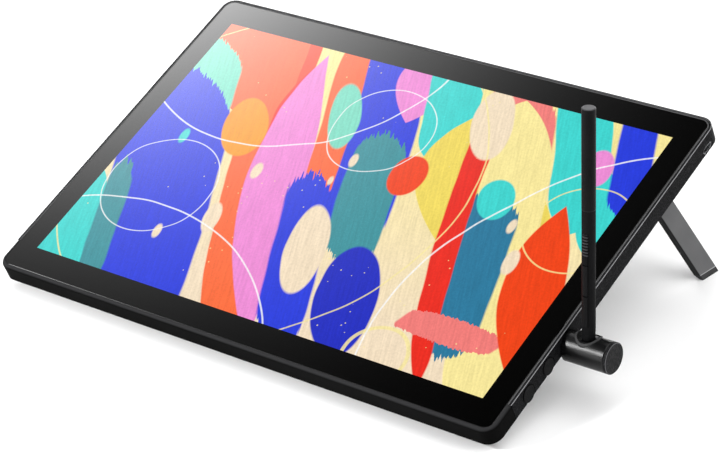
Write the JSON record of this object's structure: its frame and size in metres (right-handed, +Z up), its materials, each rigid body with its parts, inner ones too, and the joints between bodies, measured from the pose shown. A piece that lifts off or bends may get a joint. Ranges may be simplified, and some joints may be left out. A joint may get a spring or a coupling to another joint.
{
  "type": "pen drawing tablet",
  "caption": "Flat pen display on two fold-out legs, tilted for drawing, with a pen standing upright in a push-in holder on its right edge.",
  "frame": {"origin": "on the desk, under the middle of the bounding box of the tablet on its open legs with the pen in its holder", "axes": "+X to the user's right along the screen's width, +Y away from the user, +Z up"},
  "size_m": [0.412, 0.2458, 0.182],
  "materials": {
    "cover_glass": "etched, black border, satin",
    "frame_plastic": "satin dark grey",
    "trim_plastic": "smooth satin black",
    "cover_plastic": "fine textured dark grey",
    "panel_glass": "smooth",
    "clear_plastic": "clear, glossy",
    "sheet_metal": "stamped sheet",
    "circuit_board": "solder mask green",
    "chip_plastic": "moulded black",
    "screw_steel": "blackened steel",
    "ribbon_film": "amber film",
    "port_steel": "stamped, satin",
    "insert_brass": "turned",
    "foot_rubber": "matt",
    "leg_metal": "grey anodised, satin",
    "bracket_steel": "black coated",
    "plug_plastic": "satin",
    "holder_plastic": "satin",
    "collar_rubber": "satin",
    "nib_plastic": "smooth",
    "pen_plastic": "matt black",
    "pen_grip_plastic": "soft matt black",
    "pen_switch_plastic": "satin, ribbed",
    "pen_ring_metal": "satin grey",
    "coil_copper": "enamelled copper wire"
  },
  "bodies": {
    "tablet": {"cover_glass": "cover_glass", "bezel_frame": "frame_plastic", "front_trim": "trim_plastic", "back_cover": "cover_plastic", "display_panel": "panel_glass", "light_guide": "clear_plastic", "led_bar": "clear_plastic", "backlight_tray": "sheet_metal", "pen_sensor_board": "circuit_board", "shield_plate": "sheet_metal", "main_board": "circuit_board", "board_chips": "chip_plastic", "board_screws": "screw_steel", "display_ribbon": "ribbon_film", "port_board_right": "circuit_board", "port_board_left": "circuit_board", "port_ribbons": "ribbon_film", "usb_port_right": "port_steel", "usb_port_left": "port_steel", "hdmi_port": "port_steel", "port_tongues": "chip_plastic", "power_switch": "chip_plastic", "power_board": "circuit_board", "case_screws": "screw_steel", "arm_inserts": "insert_brass", "front_feet": "foot_rubber", "rear_feet": "foot_rubber", "leg_bracket_right": "bracket_steel", "leg_bracket_left": "bracket_steel", "leg_pin_right": "screw_steel", "leg_pin_left": "screw_steel", "bracket_screws": "screw_steel"},
    "leg_right": {"leg_right": "leg_metal", "leg_pad_right": "foot_rubber"},
    "leg_left": {"leg_left": "leg_metal", "leg_pad_left": "foot_rubber"},
    "power_button": {"power_button": "cover_plastic"},
    "holder_spigot": {"holder_spigot": "holder_plastic"},
    "holder_drum": {"holder_drum": "holder_plastic", "holder_collar": "collar_rubber", "spare_nibs": "nib_plastic"},
    "holder_cap": {"holder_cap": "holder_plastic"},
    "pen": {"pen_nose": "pen_plastic", "pen_front_barrel": "pen_grip_plastic", "pen_seam_ring": "pen_ring_metal", "pen_rear_barrel": "pen_plastic", "pen_end_cap": "pen_plastic", "pen_coil": "coil_copper", "pen_pressure_sensor": "chip_plastic", "pen_circuit": "circuit_board"},
    "pen_nib": {"pen_nib": "nib_plastic"},
    "pen_switch_lower": {"pen_switch_lower": "pen_switch_plastic"},
    "pen_switch_middle": {"pen_switch_middle": "pen_switch_plastic"},
    "pen_switch_upper": {"pen_switch_upper": "pen_switch_plastic"},
    "socket_plug_right_1": {"socket_plug_right_1": "plug_plastic"},
    "socket_plug_right_2": {"socket_plug_right_2": "plug_plastic"},
    "socket_plug_left_1": {"socket_plug_left_1": "plug_plastic"},
    "socket_plug_left_2": {"socket_plug_left_2": "plug_plastic"},
    "socket_plug_left_3": {"socket_plug_left_3": "plug_plastic"}
  },
  "joints": [
    {"name": "leg_right_fold", "type": "hinge", "parent": "tablet", "child": "leg_right", "pos_m": [0.1429, 0.08603, 0.07394], "axis": [0, 0.9397, 0.342], "range_deg": [0, 109.7]},
    {"name": "leg_left_fold", "type": "hinge", "parent": "tablet", "child": "leg_left", "pos_m": [-0.1728, 0.08603, 0.07394], "axis": [0, 0.9397, 0.342], "range_deg": [-109.7, 0]},
    {"name": "power_button_press", "type": "slide", "parent": "tablet", "child": "power_button", "axis": [0, -0.9397, -0.342], "range_m": [0, 0.0005], "stiffness_N_per_m": 600, "springref_m": -0.0002},
    {"name": "holder_pull", "type": "slide", "parent": "tablet", "child": "holder_spigot", "axis": [1, 0, 0], "range_m": [0, 0.006]},
    {"name": "holder_swivel", "type": "hinge", "parent": "holder_spigot", "child": "holder_drum", "pos_m": [0.1888, -0.04374, 0.03256], "axis": [1, 0, 0], "range_deg": [-45, 45]},
    {"name": "holder_cap_pull", "type": "slide", "parent": "holder_drum", "child": "holder_cap", "axis": [1, 0, 0], "range_m": [0, 0.008]},
    {"name": "pen_lift", "type": "slide", "parent": "holder_drum", "child": "pen", "axis": [0, 0.0593, 0.9982], "range_m": [0, 0.155]},
    {"name": "pen_nib_press", "type": "slide", "parent": "pen", "child": "pen_nib", "axis": [0, 0.0593, 0.9982], "range_m": [0, 0.0008], "stiffness_N_per_m": 800, "springref_m": -0.0002},
    {"name": "pen_switch_lower_press", "type": "slide", "parent": "pen", "child": "pen_switch_lower", "axis": [0, 0.9982, -0.0593], "range_m": [0, 0.0003], "stiffness_N_per_m": 600, "springref_m": -0.0002},
    {"name": "pen_switch_middle_press", "type": "slide", "parent": "pen", "child": "pen_switch_middle", "axis": [0, 0.9982, -0.0593], "range_m": [0, 0.0003], "stiffness_N_per_m": 600, "springref_m": -0.0002},
    {"name": "pen_switch_upper_press", "type": "slide", "parent": "pen", "child": "pen_switch_upper", "axis": [0, 0.9982, -0.0593], "range_m": [0, 0.0003], "stiffness_N_per_m": 600, "springref_m": -0.0002},
    {"name": "socket_plug_right_1_pull", "type": "slide", "parent": "tablet", "child": "socket_plug_right_1", "axis": [1, 0, 0], "range_m": [0, 0.006]},
    {"name": "socket_plug_right_2_pull", "type": "slide", "parent": "tablet", "child": "socket_plug_right_2", "axis": [1, 0, 0], "range_m": [0, 0.006]},
    {"name": "socket_plug_left_1_pull", "type": "slide", "parent": "tablet", "child": "socket_plug_left_1", "axis": [-1, 0, 0], "range_m": [0, 0.006]},
    {"name": "socket_plug_left_2_pull", "type": "slide", "parent": "tablet", "child": "socket_plug_left_2", "axis": [-1, 0, 0], "range_m": [0, 0.006]},
    {"name": "socket_plug_left_3_pull", "type": "slide", "parent": "tablet", "child": "socket_plug_left_3", "axis": [-1, 0, 0], "range_m": [0, 0.006]}
  ]
}
